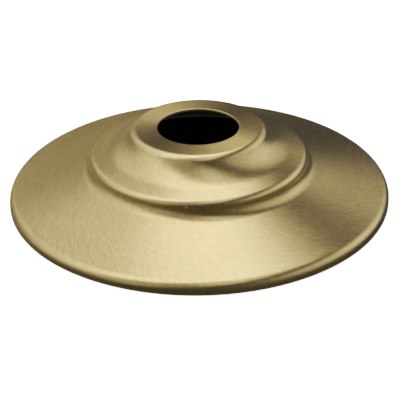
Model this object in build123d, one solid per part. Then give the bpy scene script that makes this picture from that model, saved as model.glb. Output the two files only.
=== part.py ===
from build123d import *
import os
from math import cos, radians, sin

# Lamp vase cap: one disc of brass sheet, spun into a low stepped cover with a
# hole for the lamp pipe in its crown. The rim stands on the plane Z = 0 and the
# spinning axis is Z. Lengths are millimetres, angles are degrees from level.

# Plan sizes, measured on the visible outer skin
outer_diameter = 127.0
lip_diameter = 72.4
seat_diameter = 40.6
hole_diameter = 27.0

# Sheet, and the light chamfer left where its cut edges were deburred
sheet = 0.8
edge_break = 0.2

# Turned-down rim: plumb leg that stands on the vase, bent round a small radius
rim_leg = 1.2
rim_inside_radius = 1.95

# Broad shallow skirt, a little hollow, so it steepens from the rim to the foot of the step
skirt_rim_angle = 13.2
skirt_foot_angle = 17.5

# Step up to the tier: a small hollow at its foot, and a short wall that is almost plumb
foot_radius = 4.0
step_wall = 0.5
step_angle = 83.5

# Upper tier: rounded lip, straight ledge, deep hollow neck, and the shoulder of the flat seat
lip_inside_radius = 1.4
ledge_length = 4.3
ledge_angle = 14.0
neck_angle = 61.0
shoulder_inside_radius = 2.0

# Crowns seen from outside are larger by the sheet than the tool they were spun on
rim_radius = rim_inside_radius + sheet
lip_radius = lip_inside_radius + sheet
shoulder_radius = shoulder_inside_radius + sheet


def bend_width(radius, steep, shallow):
    """Plan width of a bend that runs from a steep slope to a shallow one."""
    return radius * (sin(radians(steep)) - sin(radians(shallow)))


def skirt_radius():
    """Large radius of the skirt's hollow, which joins the rim's bend to the foot's bend."""
    wall_foot = lip_diameter / 2 + step_wall * cos(radians(step_angle))
    top = wall_foot + bend_width(foot_radius, step_angle, skirt_foot_angle)
    bottom = outer_diameter / 2 - bend_width(rim_radius, 90, skirt_rim_angle)
    return (bottom - top) / bend_width(1, skirt_foot_angle, skirt_rim_angle)


def neck_radius():
    """Radius of the hollow neck, which joins the inner end of the ledge to the shoulder's bend."""
    lip_end = lip_diameter / 2 - bend_width(lip_radius, step_angle, ledge_angle)
    outer_end = lip_end - ledge_length * cos(radians(ledge_angle))
    inner_end = seat_diameter / 2 + bend_width(shoulder_radius, neck_angle, 0)
    return (outer_end - inner_end) / bend_width(1, neck_angle, ledge_angle)


def skin(depth):
    """The sheet's surface at a depth under its outer skin, from the rim in to the hole.

    Every bend keeps its centre, so crowns shrink and hollows grow by the depth
    and the sheet stays equally thick from edge to edge.
    """
    rim_foot = (outer_diameter / 2 - depth, 0)
    leg = Line(rim_foot, (rim_foot[0], rim_leg))
    rim = JernArc(leg @ 1, leg % 1, rim_radius - depth, 90 - skirt_rim_angle)
    skirt = JernArc(rim @ 1, rim % 1, skirt_radius() + depth, skirt_rim_angle - skirt_foot_angle)
    foot = JernArc(skirt @ 1, skirt % 1, foot_radius + depth, skirt_foot_angle - step_angle)
    step = PolarLine(foot @ 1, step_wall, direction=foot % 1)
    lip = JernArc(step @ 1, step % 1, lip_radius - depth, step_angle - ledge_angle)
    ledge = PolarLine(lip @ 1, ledge_length, direction=lip % 1)
    neck = JernArc(ledge @ 1, ledge % 1, neck_radius() + depth, ledge_angle - neck_angle)
    shoulder = JernArc(neck @ 1, neck % 1, shoulder_radius - depth, neck_angle)
    seat = Line(shoulder @ 1, (hole_diameter / 2, (shoulder @ 1).Y))
    return [leg, rim, skirt, foot, step, lip, ledge, neck, shoulder, seat]


def cap_section():
    """Half section of the spun sheet, with its cut edges at the hole and rim eased."""
    outside = skin(0)
    underside = skin(sheet)
    hole_edge = Line(outside[-1] @ 1, underside[-1] @ 1)
    rim_edge = Line(outside[0] @ 0, underside[0] @ 0)
    section = make_face(outside + [hole_edge, rim_edge] + underside)
    cut_corners = [hole_edge @ 0, hole_edge @ 1, rim_edge @ 0, rim_edge @ 1]
    eased = [v for v in section.vertices() if any(v.distance_to(c) < sheet / 100 for c in cut_corners)]
    return chamfer(eased, min(edge_break, sheet / 4))


def vase_cap():
    """The whole cap: its section turned once round the spinning axis."""
    return revolve(Plane.XZ * cap_section(), axis=Axis.Z, revolution_arc=360)


os.makedirs("parts", exist_ok=True)
export_step(vase_cap(), "parts/vase_cap.step")
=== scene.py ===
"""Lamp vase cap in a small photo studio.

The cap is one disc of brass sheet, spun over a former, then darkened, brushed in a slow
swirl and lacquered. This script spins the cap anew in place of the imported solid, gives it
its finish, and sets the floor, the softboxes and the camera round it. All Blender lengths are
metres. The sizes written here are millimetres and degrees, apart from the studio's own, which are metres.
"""

import logging
import math
from dataclasses import dataclass
from enum import Enum

import bmesh
import bpy
from mathutils import Matrix, Vector


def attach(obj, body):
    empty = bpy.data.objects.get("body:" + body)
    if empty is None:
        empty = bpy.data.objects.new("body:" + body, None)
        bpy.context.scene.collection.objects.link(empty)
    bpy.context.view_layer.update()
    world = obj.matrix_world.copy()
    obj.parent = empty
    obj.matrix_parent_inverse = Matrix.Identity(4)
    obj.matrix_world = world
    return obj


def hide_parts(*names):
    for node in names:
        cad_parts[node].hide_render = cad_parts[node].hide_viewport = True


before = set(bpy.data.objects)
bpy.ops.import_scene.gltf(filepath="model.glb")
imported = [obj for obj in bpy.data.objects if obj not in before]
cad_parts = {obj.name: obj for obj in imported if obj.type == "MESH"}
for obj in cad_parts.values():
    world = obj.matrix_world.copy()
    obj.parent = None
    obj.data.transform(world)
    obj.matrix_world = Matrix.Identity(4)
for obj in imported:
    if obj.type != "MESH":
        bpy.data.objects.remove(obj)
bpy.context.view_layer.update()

MM = 0.001
RIGHT_ANGLE = 90.0
FULL_TURN = 360.0
log = logging.getLogger("vase_cap")


class Side(Enum):
    """Which way a bend turns the sheet, walking up and in from the rim to the hole."""

    CROWN = 1
    HOLLOW = -1


class Seen(Enum):
    """Which rays meet a studio surface."""

    BY_ALL = "all"
    NOT_IN_METAL = "not_in_metal"


def linear(hex_colour: str) -> tuple[float, float, float, float]:
    """Turn an sRGB hex colour into the linear colour that a shader takes.

    Args:
        hex_colour: six hex digits, such as "c8a96a".

    Returns:
        Red, green, blue and an alpha of one.
    """
    channels = [int(hex_colour[i:i + 2], 16) / 255 for i in (0, 2, 4)]
    curve = [c / 12.92 if c <= 0.04045 else ((c + 0.055) / 1.055) ** 2.4 for c in channels]
    return (*curve, 1.0)


def add_node(
    tree: bpy.types.NodeTree,
    kind: str,
    settings: dict[str, object] | None = None,
    inputs: dict[str | int, object] | None = None,
) -> bpy.types.Node:
    """Add a shader node with its settings, and link or set its inputs.

    Args:
        tree: the node tree to add to.
        kind: the node's type name.
        settings: values for the node's own properties.
        inputs: for each input, an output socket to link or a value to set.

    Returns:
        The new node.
    """
    node = tree.nodes.new(kind)
    for name, value in (settings or {}).items():
        setattr(node, name, value)
    for name, value in (inputs or {}).items():
        if isinstance(value, bpy.types.NodeSocket):
            tree.links.new(value, node.inputs[name])
        else:
            node.inputs[name].default_value = value
    return node


def new_material(name: str) -> tuple[bpy.types.Material, bpy.types.NodeTree, bpy.types.Node]:
    """Make an empty node material.

    Args:
        name: the material's name.

    Returns:
        The material, its node tree and its output node.
    """
    material = bpy.data.materials.new(name)
    material.use_nodes = True
    tree = material.node_tree
    tree.nodes.clear()
    return material, tree, tree.nodes.new("ShaderNodeOutputMaterial")


@dataclass(frozen=True)
class Blemish:
    """A speck or a nick in the finish, at a place on the outer skin, in millimetres and degrees."""

    radius_out: float
    azimuth: float
    height: float
    across: float

    def place(self) -> Vector:
        """Give the blemish's centre, in metres."""
        turn = math.radians(self.azimuth)
        return Vector((self.radius_out * math.cos(turn), self.radius_out * math.sin(turn), self.height)) * MM


@dataclass(frozen=True)
class AntiqueBrass:
    """Antique brass: spun sheet, chemically darkened, satin brushed, then lacquered.

    To the eye it is a muted olive gold. The brush leaves short fine lines that run out from the
    hole in a slow swirl, so a highlight spreads across the lines and makes two bright and
    two dark fans on every level ring. The bends are a little brighter than the flats, partly
    from wear and partly as a painted highlight, strongest on the lip and at the hole's edge. The
    hollow under the step and the neck's hollow are darkened as painted shade, and the lacquer
    greys what is seen at a shallow angle. The inside is painted dark brown as shade, and is dull.
    Lengths are millimetres and angles are degrees.
    """

    # The brighter tone on the bends is partly wear and partly a painted highlight
    rubbed_brass_and_sheen: str = "d4bd80"
    brass: str = "d0b474"
    # The darkened tone serves the real darkening of strokes and clouds, and also the painted shade in the
    # hollows
    darkened_brass_and_shade: str = "8c7744"
    # The inside's dark brown is painted shade
    inside_painted_shade: str = "3d3220"
    speck: str = "2b2114"
    bare_brass: str = "f4e8c4"
    # How much of each tone shows where it is strongest
    strokes_darkened: float = 0.55
    clouds_darkened: float = 0.10
    # The share on the bends is wear with a painted highlight
    bends_rubbed_and_sheen: float = 0.25
    # The share in the hollows is painted shade
    crease_painted_shade: float = 0.15
    # Pattern values from where a tone or the gloss begins to change to where it is full
    dark_strokes: tuple[float, float] = (0.66, 0.34)
    dark_clouds: tuple[float, float] = (0.45, 0.7)
    gloss_strokes: tuple[float, float] = (0.3, 0.7)
    roughness: float = 0.36
    roughness_spread: float = 0.03
    inside_roughness: float = 0.6
    nick_roughness: float = 0.9
    brushed_anisotropy: float = 0.75
    swirl: float = 50.0
    lacquer: float = 0.40
    lacquer_roughness: float = 0.30
    lacquer_ior: float = 1.5
    # The real brush lines are about 0.1 mm apart, too fine to show: they are drawn 0.5 mm apart
    stroke_spacing: float = 0.5
    stroke_length: float = 3.6
    stroke_depth: float = 0.002
    stroke_relief: float = 0.6
    stroke_detail: float = 2.0
    stroke_grain: float = 0.6
    # The value of a place with no stroke, and how far the strokes give way to it
    no_stroke: float = 0.5
    rim_fade: float = 0.8
    tier_fade: float = 0.3
    # A typical radius of each band of strokes, and half the width over which they change
    tier_radius: float = 24.0
    skirt_radius: float = 50.0
    step_blend: float = 1.0
    cloud_size: float = 18.0
    cloud_detail: float = 3.0
    cloud_grain: float = 0.55

    def dress(
        self,
        piece: bpy.types.Object,
        border: float,
        rim_top: float,
        dark: list[Blemish],
        bright: list[Blemish],
    ) -> None:
        """Give the finish to a piece spun round the Z axis.

        Args:
            piece: the mesh object, with the attributes "rubbed" (wear and painted highlight), "crease"
                (painted shade) and "inside" on its points.
            border: radius of the step between the tier and the skirt, millimetres.
            rim_top: height of the top of the rim's bend, near where it meets the skirt, millimetres.
            dark: dark specks in the finish.
            bright: nicks where the bare metal shows.
        """
        material, tree, output = new_material("antique_brass_satin_brushed")
        place = add_node(tree, "ShaderNodeTexCoord").outputs["Object"]
        strokes = self.stroke_field(tree, border, rim_top)
        clouds = add_node(tree, "ShaderNodeTexNoise", {"noise_dimensions": "3D"}, {
            "Vector": place, "Scale": 1 / (self.cloud_size * MM),
            "Detail": self.cloud_detail, "Roughness": self.cloud_grain}).outputs["Fac"]
        nicks = self.spots(tree, bright)
        colour = self.colour(tree, strokes, clouds, self.spots(tree, dark), nicks)
        low, high = self.gloss_strokes
        roughness = add_node(tree, "ShaderNodeMapRange", {}, {
            "Value": strokes, "From Min": low, "From Max": high,
            "To Min": self.roughness - self.roughness_spread,
            "To Max": self.roughness + self.roughness_spread}).outputs["Result"]
        inside = add_node(tree, "ShaderNodeAttribute", {"attribute_name": "inside"}).outputs["Fac"]
        for cover, duller in ((inside, self.inside_roughness), (nicks, self.nick_roughness)):
            roughness = add_node(tree, "ShaderNodeMix", {"data_type": "FLOAT"}, {
                0: cover, 2: roughness, 3: duller}).outputs[0]
        scratches = add_node(tree, "ShaderNodeBump", {}, {
            "Height": strokes, "Strength": self.stroke_relief,
            "Distance": self.stroke_depth * MM}).outputs["Normal"]
        around = add_node(tree, "ShaderNodeTangent", {
            "direction_type": "RADIAL", "axis": "Z"}).outputs["Tangent"]
        shader = add_node(tree, "ShaderNodeBsdfPrincipled", {}, {
            "Base Color": colour, "Metallic": 1.0, "Roughness": roughness, "Normal": scratches,
            "Anisotropic": self.brushed_anisotropy, "Anisotropic Rotation": self.swirl / FULL_TURN,
            "Tangent": around, "Coat Weight": self.lacquer,
            "Coat Roughness": self.lacquer_roughness, "Coat IOR": self.lacquer_ior})
        tree.links.new(shader.outputs["BSDF"], output.inputs["Surface"])
        piece.data.materials.clear()
        piece.data.materials.append(material)

    def stroke_field(self, tree: bpy.types.NodeTree, border: float, rim_top: float) -> bpy.types.NodeSocket:
        """Draw the brush strokes as noise stretched along log spirals round the axis.

        The noise is read on a circle, so it closes on itself without a seam. The tier and the
        skirt each have a band of their own, so that the strokes stay about as fine on both. They
        are fainter on the tier, and fade on the turned-down rim, which the brush hardly reaches.

        Args:
            tree: the material's node tree.
            border: radius of the step, where one band gives way to the other, millimetres.
            rim_top: height where the strokes begin to fade, millimetres.

        Returns:
            The strokes' value, from 0 to 1.
        """
        place = add_node(tree, "ShaderNodeTexCoord").outputs["Object"]
        x, y, z = add_node(tree, "ShaderNodeSeparateXYZ", {}, {0: place}).outputs
        plan = add_node(tree, "ShaderNodeVectorMath", {"operation": "MULTIPLY"}, {
            0: place, 1: (1.0, 1.0, 0.0)}).outputs[0]
        radius = add_node(tree, "ShaderNodeVectorMath", {"operation": "LENGTH"}, {0: plan}).outputs["Value"]
        ratio = add_node(tree, "ShaderNodeMath", {"operation": "DIVIDE"}, {
            0: radius, 1: self.tier_radius * MM}).outputs[0]
        log_radius = add_node(tree, "ShaderNodeMath", {"operation": "LOGARITHM"}, {
            0: ratio, 1: math.e}).outputs[0]
        azimuth = add_node(tree, "ShaderNodeMath", {"operation": "ARCTAN2"}, {0: y, 1: x}).outputs[0]
        lead = math.tan(math.radians(self.swirl))
        turn = add_node(tree, "ShaderNodeMath", {"operation": "MULTIPLY_ADD"}, {
            0: log_radius, 1: -lead, 2: azimuth}).outputs[0]
        cosine, sine = (
            add_node(tree, "ShaderNodeMath", {"operation": operation}, {0: turn}).outputs[0]
            for operation in ("COSINE", "SINE")
        )
        bands = []
        for typical_radius in (self.tier_radius, self.skirt_radius):
            across = typical_radius / self.stroke_spacing
            along = typical_radius / (self.stroke_length * math.cos(math.radians(self.swirl)))
            climb = add_node(tree, "ShaderNodeMath", {"operation": "MULTIPLY_ADD"}, {
                0: z, 1: -1 / (typical_radius * MM), 2: log_radius}).outputs[0]
            circle = add_node(tree, "ShaderNodeCombineXYZ", {}, {0: cosine, 1: sine, 2: climb}).outputs[0]
            stretched = add_node(tree, "ShaderNodeVectorMath", {"operation": "MULTIPLY"}, {
                0: circle, 1: (across, across, along)}).outputs[0]
            bands.append(add_node(tree, "ShaderNodeTexNoise", {"noise_dimensions": "3D"}, {
                "Vector": stretched, "Scale": 1.0,
                "Detail": self.stroke_detail, "Roughness": self.stroke_grain}).outputs["Fac"])
        tier, skirt = bands
        fainter = add_node(tree, "ShaderNodeMix", {"data_type": "FLOAT"}, {
            0: self.tier_fade, 2: tier, 3: self.no_stroke}).outputs[0]
        on_skirt = add_node(tree, "ShaderNodeMapRange", {}, {
            "Value": radius, "From Min": (border - self.step_blend) * MM,
            "From Max": (border + self.step_blend) * MM}).outputs["Result"]
        strokes = add_node(tree, "ShaderNodeMix", {"data_type": "FLOAT"}, {
            0: on_skirt, 2: fainter, 3: skirt}).outputs[0]
        on_rim = add_node(tree, "ShaderNodeMapRange", {}, {
            "Value": z, "From Min": rim_top * MM, "From Max": rim_top * MM / 2,
            "To Max": self.rim_fade}).outputs["Result"]
        return add_node(tree, "ShaderNodeMix", {"data_type": "FLOAT"}, {
            0: on_rim, 2: strokes, 3: self.no_stroke}).outputs[0]

    def colour(
        self,
        tree: bpy.types.NodeTree,
        strokes: bpy.types.NodeSocket,
        clouds: bpy.types.NodeSocket,
        specks: bpy.types.NodeSocket,
        nicks: bpy.types.NodeSocket,
    ) -> bpy.types.NodeSocket:
        """Mix the brass from its worn, plain and darkened states, with a painted highlight on the bends and
        painted shade in the hollows and inside.

        Args:
            tree: the material's node tree.
            strokes: the brush strokes' value.
            clouds: slow patches left by the darkening bath.
            specks: where dark specks cover the finish.
            nicks: where nicks lay the metal bare.

        Returns:
            The base colour's socket.
        """
        rubbed_and_sheen, painted_shade, inside = (
            add_node(tree, "ShaderNodeAttribute", {"attribute_name": name}).outputs["Fac"]
            for name in ("rubbed_and_sheen", "painted_shade", "inside")
        )
        in_step = (0.0, 1.0)
        washes = (
            (strokes, self.dark_strokes, self.strokes_darkened, self.darkened_brass_and_shade),
            (clouds, self.dark_clouds, self.clouds_darkened, self.darkened_brass_and_shade),
            # Wear and a painted highlight on the bends
            (rubbed_and_sheen, in_step, self.bends_rubbed_and_sheen, self.rubbed_brass_and_sheen),
            # Painted shade in the hollows
            (painted_shade, in_step, self.crease_painted_shade, self.darkened_brass_and_shade),
        )
        colour: object = linear(self.brass)
        for pattern, (start, full), strongest, tone in washes:
            share = add_node(tree, "ShaderNodeMapRange", {}, {
                "Value": pattern, "From Min": start, "From Max": full,
                "To Max": strongest}).outputs["Result"]
            colour = add_node(tree, "ShaderNodeMix", {"data_type": "RGBA"}, {
                0: share, 6: colour, 7: linear(tone)}).outputs[2]
        # The inside is covered in dark brown as painted shade
        covers = ((inside, self.inside_painted_shade), (specks, self.speck), (nicks, self.bare_brass))
        for cover, tone in covers:
            colour = add_node(tree, "ShaderNodeMix", {"data_type": "RGBA"}, {
                0: cover, 6: colour, 7: linear(tone)}).outputs[2]
        return colour

    def spots(self, tree: bpy.types.NodeTree, blemishes: list[Blemish]) -> bpy.types.NodeSocket:
        """Draw round spots with soft edges.

        Args:
            tree: the material's node tree.
            blemishes: where the spots are.

        Returns:
            How far a point is covered, from 0 to 1.
        """
        place = add_node(tree, "ShaderNodeTexCoord").outputs["Object"]
        covered: object = 0.0
        for spot in blemishes:
            away = add_node(tree, "ShaderNodeVectorMath", {"operation": "DISTANCE"}, {
                0: place, 1: spot.place()}).outputs["Value"]
            share = add_node(tree, "ShaderNodeMapRange", {}, {
                "Value": away, "From Min": spot.across * MM / 2,
                "From Max": spot.across * MM / 4}).outputs["Result"]
            covered = add_node(tree, "ShaderNodeMath", {"operation": "MAXIMUM"}, {
                0: covered, 1: share}).outputs[0]
        return covered


class SkinWalk:
    """A walk along the sheet's surface in its half section, in millimetres."""

    def __init__(self, radius: float, height: float, heading: float) -> None:
        """Start at a point of the section.

        Args:
            radius: the point's distance from the axis, in millimetres.
            height: its height, in millimetres.
            heading: which way the walk starts, in degrees: 0 is level outwards and 90 is up.
        """
        self.radius, self.height, self.heading = radius, height, heading
        self.points: list[tuple[float, float]] = [(radius, height)]
        # For each point: wear with painted highlight, painted shade, and whether it is on the underside
        self.rubbed_and_sheen: list[float] = [0.0]
        self.painted_shade: list[float] = [0.0]
        self.inside: list[float] = [0.0]

    def mark(self, rubbed_and_sheen: float = 0.0, painted_shade: float = 0.0) -> None:
        """Keep the point that the walk has reached.

        Args:
            rubbed_and_sheen: how worn the sheet is there, and how much painted highlight it gets, from 0 to
                1.
            painted_shade: how much painted shade darkens the sheet there, from 0 to 1.
        """
        self.points.append((self.radius, self.height))
        self.rubbed_and_sheen.append(rubbed_and_sheen)
        self.painted_shade.append(painted_shade)
        self.inside.append(0.0)

    def straight(self, length: float, steps: int) -> None:
        """Walk straight on.

        Args:
            length: how far, in millimetres.
            steps: how many points the stretch gets.
        """
        for _ in range(steps):
            self.radius += length / steps * math.cos(math.radians(self.heading))
            self.height += length / steps * math.sin(math.radians(self.heading))
            self.mark()

    def bend(
        self,
        bend_radius: float,
        degrees: float,
        side: Side,
        steps: int,
        rubbed_and_sheen: float = 0.0,
        painted_shade: float = 0.0,
    ) -> None:
        """Walk round a tangent bend.

        Args:
            bend_radius: the bend's radius, in millimetres.
            degrees: how far it turns.
            side: whether it is a crown or a hollow.
            steps: how many points the bend gets.
            rubbed_and_sheen: how worn the middle of the bend is, and how much painted highlight it gets, from
                0 to 1.
            painted_shade: how much painted shade darkens the middle of the bend, from 0 to 1.
        """
        chord = 2 * bend_radius * math.sin(math.radians(degrees / steps / 2))
        for i in range(steps):
            self.heading += side.value * degrees / steps / 2
            self.radius += chord * math.cos(math.radians(self.heading))
            self.height += chord * math.sin(math.radians(self.heading))
            self.heading += side.value * degrees / steps / 2
            swell = math.sin(math.pi * (i + 1) / steps)
            self.mark(rubbed_and_sheen * swell, painted_shade * swell)


@dataclass
class SpunCap:
    """The cap's sheet: a stepped cover with a turned-down rim and a hole in its flat seat.

    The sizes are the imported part's own, in millimetres and in degrees from level, with the
    radii of the bends on the outer skin. The cut edges are rounded here, to the width of the
    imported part's chamfers.
    """

    outer_diameter: float = 127.0
    lip_diameter: float = 72.4
    seat_diameter: float = 40.6
    hole_diameter: float = 27.0
    sheet: float = 0.8
    edge_break: float = 0.2
    rim_leg: float = 1.2
    rim_radius: float = 2.75
    skirt_rim_angle: float = 13.2
    skirt_foot_angle: float = 17.5
    foot_radius: float = 4.0
    step_wall: float = 0.5
    step_angle: float = 83.5
    lip_radius: float = 2.2
    ledge_length: float = 4.3
    ledge_angle: float = 14.0
    neck_angle: float = 61.0
    shoulder_radius: float = 2.8
    segments: int = 300

    def bend_width(self, radius: float, steep: float, shallow: float) -> float:
        """Plan width of a bend from a steep slope to a shallow one."""
        return radius * (math.sin(math.radians(steep)) - math.sin(math.radians(shallow)))

    def skirt_radius(self) -> float:
        """Work out the skirt's slight hollow, between the rim's bend and the foot's.

        Returns:
            The hollow's radius, in millimetres.
        """
        wall_foot = self.lip_diameter / 2 + self.step_wall * math.cos(math.radians(self.step_angle))
        top = wall_foot + self.bend_width(self.foot_radius, self.step_angle, self.skirt_foot_angle)
        rim_width = self.bend_width(self.rim_radius, RIGHT_ANGLE, self.skirt_rim_angle)
        bottom = self.outer_diameter / 2 - rim_width
        return (bottom - top) / self.bend_width(1, self.skirt_foot_angle, self.skirt_rim_angle)

    def neck_radius(self) -> float:
        """Work out the hollow neck, between the inner end of the ledge and the shoulder's bend.

        Returns:
            The hollow's radius, in millimetres.
        """
        lip_end = self.lip_diameter / 2 - self.bend_width(self.lip_radius, self.step_angle, self.ledge_angle)
        outer_end = lip_end - self.ledge_length * math.cos(math.radians(self.ledge_angle))
        inner_end = self.seat_diameter / 2 + self.bend_width(self.shoulder_radius, self.neck_angle, 0)
        return (outer_end - inner_end) / self.bend_width(1, self.neck_angle, self.ledge_angle)

    def skin(self, depth: float) -> SkinWalk:
        """Walk the sheet's surface at a depth under its outer skin, from the rim in to the seat.

        Args:
            depth: 0 for the outer skin, or the sheet's gauge for the underside.

        Returns:
            The walk, which ends on the seat where the hole's edge begins.
        """
        rim_turn = RIGHT_ANGLE - self.skirt_rim_angle
        skirt_turn = self.skirt_foot_angle - self.skirt_rim_angle
        foot_turn = self.step_angle - self.skirt_foot_angle
        lip_turn = self.step_angle - self.ledge_angle
        neck_turn = self.neck_angle - self.ledge_angle
        walk = SkinWalk(self.outer_diameter / 2 - depth, self.edge_break, RIGHT_ANGLE)
        walk.straight(self.rim_leg - self.edge_break, steps=4)
        # Crowns get wear and a painted highlight, hollows get painted shade
        walk.bend(self.rim_radius - depth, rim_turn, Side.CROWN, steps=18, rubbed_and_sheen=0.2)
        walk.bend(self.skirt_radius() + depth, skirt_turn, Side.HOLLOW, steps=24)
        # The hollow at the foot of the step is darkened as painted shade
        walk.bend(self.foot_radius + depth, foot_turn, Side.HOLLOW, steps=20, painted_shade=0.8)
        walk.straight(self.step_wall, steps=2)
        walk.bend(self.lip_radius - depth, lip_turn, Side.CROWN, steps=18, rubbed_and_sheen=1.0)
        walk.straight(self.ledge_length, steps=4)
        # The neck's hollow is darkened a little, as painted shade
        walk.bend(self.neck_radius() + depth, neck_turn, Side.HOLLOW, steps=28, painted_shade=0.3)
        walk.bend(self.shoulder_radius - depth, self.neck_angle, Side.CROWN, steps=18, rubbed_and_sheen=0.8)
        walk.straight(walk.radius - self.hole_diameter / 2 - self.edge_break, steps=10)
        return walk

    def section(self) -> SkinWalk:
        """Join the outer skin and the underside round the eased edges of the hole and the rim.

        Returns:
            The closed section, whose last point lies on its first.
        """
        outside, underside = self.skin(0.0), self.skin(self.sheet)
        edge = self.sheet - 2 * self.edge_break
        # The hole's top edge gets full wear and painted highlight
        outside.bend(self.edge_break, RIGHT_ANGLE, Side.CROWN, steps=5, rubbed_and_sheen=1.0)
        outside.straight(edge, steps=2)
        outside.bend(self.edge_break, RIGHT_ANGLE, Side.CROWN, steps=5, rubbed_and_sheen=0.3)
        # The hole's edge has reached the underside's last point, so that one is left out
        back = list(reversed(underside.points[:-1]))
        outside.points += back
        outside.rubbed_and_sheen += [0.0] * len(back)
        outside.painted_shade += [0.0] * len(back)
        outside.inside += [1.0] * len(back)
        outside.radius, outside.height = outside.points[-1]
        outside.heading = -RIGHT_ANGLE
        outside.bend(self.edge_break, RIGHT_ANGLE, Side.CROWN, steps=5)
        outside.straight(edge, steps=2)
        outside.bend(self.edge_break, RIGHT_ANGLE, Side.CROWN, steps=4)
        return outside

    def build(self) -> bpy.types.Object:
        """Spin the section round the axis into one closed mesh.

        Returns:
            The cap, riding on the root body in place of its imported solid.
        """
        section = self.section()
        mesh = bmesh.new()
        layers = [mesh.verts.layers.float.new(name) for name in ("rubbed_and_sheen", "painted_shade", "inside")]
        marks = zip(section.rubbed_and_sheen, section.painted_shade, section.inside)
        turns = [2 * math.pi * i / self.segments for i in range(self.segments)]
        rings = []
        for (radius, height), values in zip(section.points, marks):
            ring = []
            for turn in turns:
                place = Vector((radius * math.cos(turn), radius * math.sin(turn), height)) * MM
                vertex = mesh.verts.new(place)
                for layer, value in zip(layers, values):
                    vertex[layer] = value
                ring.append(vertex)
            rings.append(ring)
        for ring, following in zip(rings, rings[1:] + rings[:1]):
            for i in range(self.segments):
                j = (i + 1) % self.segments
                mesh.faces.new((ring[i], ring[j], following[j], following[i])).smooth = True
        bmesh.ops.recalc_face_normals(mesh, faces=mesh.faces)
        data = bpy.data.meshes.new("brass_cap")
        mesh.to_mesh(data)
        mesh.free()
        piece = bpy.data.objects.new("brass_cap", data)
        bpy.context.scene.collection.objects.link(piece)
        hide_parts("vase_cap")
        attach(piece, "root")
        return piece


@dataclass(frozen=True)
class StudioPaper:
    """Matt white paper on a light table, with a black disc of painted shadow under the cap.

    To the eye the ground is even and almost white, as round a product in a catalogue, and
    the painted shadow, which does not glow, keeps what shows through the cap's hole black. Lengths are
    millimetres.
    """

    tone: str = "fbfbf9"
    # A disc of painted shadow under the cap, dark and without glow
    painted_shadow: str = "151412"
    glow: float = 2.0
    painted_shadow_radius: float = 63.4
    painted_shadow_blur: float = 0.8
    roughness: float = 0.95
    specular: float = 0.1
    # Paper fibres are too fine to show: they are drawn coarser, as clumps, 0.9 to a millimetre
    clumps_per_mm: float = 0.9
    clump_detail: float = 2.0
    tooth_depth: float = 0.1
    tooth_relief: float = 0.05

    def dress(self, sheet: bpy.types.Object) -> None:
        """Give the paper, with its painted shadow under the cap, to a studio surface.

        Args:
            sheet: the surface's mesh object, with the cap over its origin.
        """
        material, tree, output = new_material("matt_white_paper")
        place = add_node(tree, "ShaderNodeTexCoord").outputs["Object"]
        fibre = add_node(tree, "ShaderNodeTexNoise", {"noise_dimensions": "3D"}, {
            "Vector": place, "Scale": self.clumps_per_mm / MM,
            "Detail": self.clump_detail}).outputs["Fac"]
        tooth = add_node(tree, "ShaderNodeBump", {}, {
            "Height": fibre, "Strength": self.tooth_relief,
            "Distance": self.tooth_depth * MM}).outputs["Normal"]
        away = add_node(tree, "ShaderNodeVectorMath", {"operation": "LENGTH"}, {0: place}).outputs["Value"]
        # Under the cap the paper is dark and does not glow: a painted shadow
        bare, lit = (
            add_node(tree, "ShaderNodeMapRange", {}, {
                "Value": away, "From Min": (self.painted_shadow_radius - self.painted_shadow_blur) * MM,
                "From Max": self.painted_shadow_radius * MM, "To Max": top}).outputs["Result"]
            for top in (1.0, self.glow)
        )
        colour = add_node(tree, "ShaderNodeMix", {"data_type": "RGBA"}, {
            0: bare, 6: linear(self.painted_shadow), 7: linear(self.tone)}).outputs[2]
        shader = add_node(tree, "ShaderNodeBsdfPrincipled", {}, {
            "Base Color": colour, "Roughness": self.roughness, "Specular IOR Level": self.specular,
            "Normal": tooth, "Emission Color": linear(self.tone), "Emission Strength": lit})
        tree.links.new(shader.outputs["BSDF"], output.inputs["Surface"])
        sheet.data.materials.append(material)


@dataclass(frozen=True)
class Softbox:
    """A rectangular lamp behind white cloth, seen from the cap at an azimuth and an elevation."""

    name: str
    azimuth: float
    elevation: float
    width: float
    height: float
    brightness: float

    def build(self, distance: float) -> bpy.types.Object:
        """Hang the softbox so that it faces the cap.

        Args:
            distance: how far it hangs from the cap, in metres.

        Returns:
            The area light.
        """
        turn, rise = math.radians(self.azimuth), math.radians(self.elevation)
        toward = Vector((math.cos(rise) * math.cos(turn), math.cos(rise) * math.sin(turn), math.sin(rise)))
        data = bpy.data.lights.new(self.name, "AREA")
        data.shape = "RECTANGLE"
        data.size = 2 * distance * math.tan(math.radians(self.width / 2))
        data.size_y = 2 * distance * math.tan(math.radians(self.height / 2))
        data.energy = self.brightness * data.size * data.size_y * math.pi
        lamp = bpy.data.objects.new(self.name, data)
        lamp.location = toward * distance
        lamp.rotation_euler = toward.to_track_quat("Z", "Y").to_euler()
        lamp.visible_camera = False
        bpy.context.scene.collection.objects.link(lamp)
        return lamp


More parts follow.
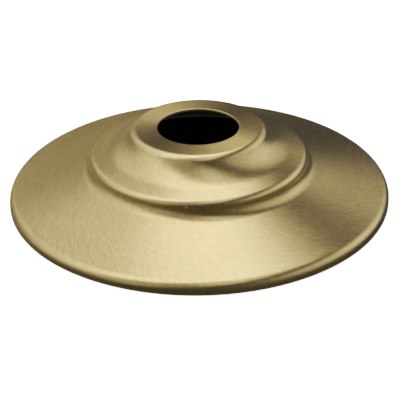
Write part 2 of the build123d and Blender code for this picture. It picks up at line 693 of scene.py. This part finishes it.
@dataclass
class Studio:
    """Paper floor, swept up into a wall all round, and softboxes over the cap.

    Lengths here are metres. A softbox's azimuth is 0 on the camera's right, 90 behind the
    cap and 180 on the left; its width and height are the angles that it fills from the cap.
    The camera stands at 270, and no softbox is centred within 60 degrees of that azimuth,
    which leaves the rim and the step dark in front.
    """

    floor_radius: float = 5.0
    cove_radius: float = 1.0
    cove_steps: int = 12
    cove_sides: int = 128
    wall_height: float = 4.0
    lamp_distance: float = 1.3
    ambient: float = 0.07
    softboxes: tuple[Softbox, ...] = (
        Softbox("overhead_softbox", azimuth=145, elevation=75, width=70, height=25, brightness=3.4),
        Softbox("overhead_strip", azimuth=5, elevation=80, width=75, height=12, brightness=3.5),
        Softbox("back_softbox", azimuth=110, elevation=60, width=55, height=35, brightness=0.5),
        Softbox("left_softbox", azimuth=165, elevation=40, width=75, height=40, brightness=1.15),
        Softbox("left_front_softbox", azimuth=205, elevation=25, width=75, height=40, brightness=0.8),
        Softbox("right_softbox", azimuth=10, elevation=30, width=90, height=40, brightness=1.0),
        Softbox("right_strip", azimuth=20, elevation=20, width=25, height=40, brightness=1.2),
    )

    def lay_floor(self, seen: Seen) -> bpy.types.Object:
        """Lay the paper on the plane that the cap stands on, and sweep its edge up into a wall.

        Args:
            seen: whether the paper is mirrored in the metal.

        Returns:
            The floor, marked as stage.
        """
        profile = [(self.floor_radius, 0.0)]
        for i in range(1, self.cove_steps + 1):
            rise = math.pi / 2 * i / self.cove_steps
            out, up = self.cove_radius * math.sin(rise), self.cove_radius * (1 - math.cos(rise))
            profile.append((self.floor_radius + out, up))
        profile.append((profile[-1][0], self.wall_height))
        mesh = bmesh.new()
        turns = [2 * math.pi * i / self.cove_sides for i in range(self.cove_sides)]
        rings = [[mesh.verts.new((r * math.cos(t), r * math.sin(t), z)) for t in turns] for r, z in profile]
        mesh.faces.new(rings[0])
        for ring, higher in zip(rings, rings[1:]):
            for i in range(self.cove_sides):
                j = (i + 1) % self.cove_sides
                mesh.faces.new((ring[i], ring[j], higher[j], higher[i])).smooth = True
        data = bpy.data.meshes.new("paper_floor")
        mesh.to_mesh(data)
        mesh.free()
        floor = bpy.data.objects.new("paper_floor", data)
        bpy.context.scene.collection.objects.link(floor)
        floor.visible_glossy = seen is Seen.BY_ALL
        StudioPaper().dress(floor)
        return floor

    def hang_lights(self) -> list[bpy.types.Object]:
        """Hang every softbox and set the room's faint fill.

        Returns:
            The area lights.
        """
        world = bpy.data.worlds.new("studio_room")
        world.use_nodes = True
        world.node_tree.nodes["Background"].inputs["Color"].default_value = linear("ffffff")
        world.node_tree.nodes["Background"].inputs["Strength"].default_value = self.ambient
        bpy.context.scene.world = world
        return [box.build(self.lamp_distance) for box in self.softboxes]


@dataclass(frozen=True)
class StudioCamera:
    """The photograph's camera, as fitted to the outlines of the rim, hole, shoulder and lip.

    Lengths are millimetres and angles are degrees. The fit's values are rounded.
    """

    distance: float = 388.0
    elevation: float = 29.0
    roll: float = -0.9
    aim_right: float = 0.2
    aim_up: float = -3.8
    focal_length: float = 103.0
    sensor: float = 36.0

    def build(self) -> bpy.types.Object:
        """Set up the camera and make it the scene's own.

        Returns:
            The camera.
        """
        rise = math.radians(self.elevation)
        place = Vector((0, -math.cos(rise), math.sin(rise))) * self.distance * MM
        aim = Vector((self.aim_right, 0, self.aim_up)) * MM
        ahead = (aim - place).normalized()
        right = ahead.cross(Vector((0, 0, 1))).normalized()
        up = right.cross(ahead)
        tilt = math.radians(self.roll)
        right, up = (
            right * math.cos(tilt) + up * math.sin(tilt),
            up * math.cos(tilt) - right * math.sin(tilt),
        )
        data = bpy.data.cameras.new("studio_camera")
        data.sensor_width = self.sensor
        data.lens = self.focal_length
        camera = bpy.data.objects.new("studio_camera", data)
        turn = Matrix((right, up, -ahead)).transposed().to_4x4()
        camera.matrix_world = Matrix.Translation(place) @ turn
        bpy.context.scene.collection.objects.link(camera)
        bpy.context.scene.camera = camera
        return camera


@dataclass(frozen=True)
class CameraResponse:
    """The camera's tones: dark and middle ones as they are, bright brass eased towards white.

    Each point is a light level and how bright it is shown.
    """

    white_level: float = 3.0
    points: tuple[tuple[float, float], ...] = ((0.15, 0.15), (0.3, 0.29), (0.6, 0.46), (1.2, 0.67))

    def set_up(self, scene: bpy.types.Scene) -> None:
        """Give the scene's view these tones.

        Args:
            scene: the scene to show.
        """
        view = scene.view_settings
        view.view_transform = "Standard"
        view.use_curve_mapping = True
        view.curve_mapping.white_level = (self.white_level,) * 3
        all_channels = view.curve_mapping.curves[3]
        for light, shown in self.points:
            all_channels.points.new(light / self.white_level, shown)
        view.curve_mapping.update()


# Pits that kept their dark under the lacquer: on the shoulder, in the neck and on the skirt
DARK_SPECKS: list[Blemish] = [
    Blemish(radius_out=21.6, azimuth=-105.5, height=23.8, across=0.6),
    Blemish(radius_out=27.5, azimuth=-114.5, height=17.9, across=0.5),
    Blemish(radius_out=43.2, azimuth=-90.0, height=8.7, across=0.6),
]
# A knock on the step's wall, under the lip
BRIGHT_NICKS: list[Blemish] = [Blemish(radius_out=36.3, azimuth=-96.4, height=14.0, across=0.9)]


def main() -> None:
    """Build the camera, the cap and the studio, in that order."""
    logging.basicConfig(level=logging.INFO, format="%(name)s: %(message)s")
    StudioCamera().build()
    log.info("camera set")
    cap = SpunCap()
    piece = cap.build()
    AntiqueBrass().dress(piece, cap.lip_diameter / 2, cap.rim_leg + cap.rim_radius, DARK_SPECKS, BRIGHT_NICKS)
    log.info("%s: %d faces", piece.name, len(piece.data.polygons))
    studio = Studio()
    floor = studio.lay_floor(Seen.NOT_IN_METAL)
    log.info("%s laid, %d softboxes hung", floor.name, len(studio.hang_lights()))
    CameraResponse().set_up(bpy.context.scene)


if __name__ == "__main__":
    main()
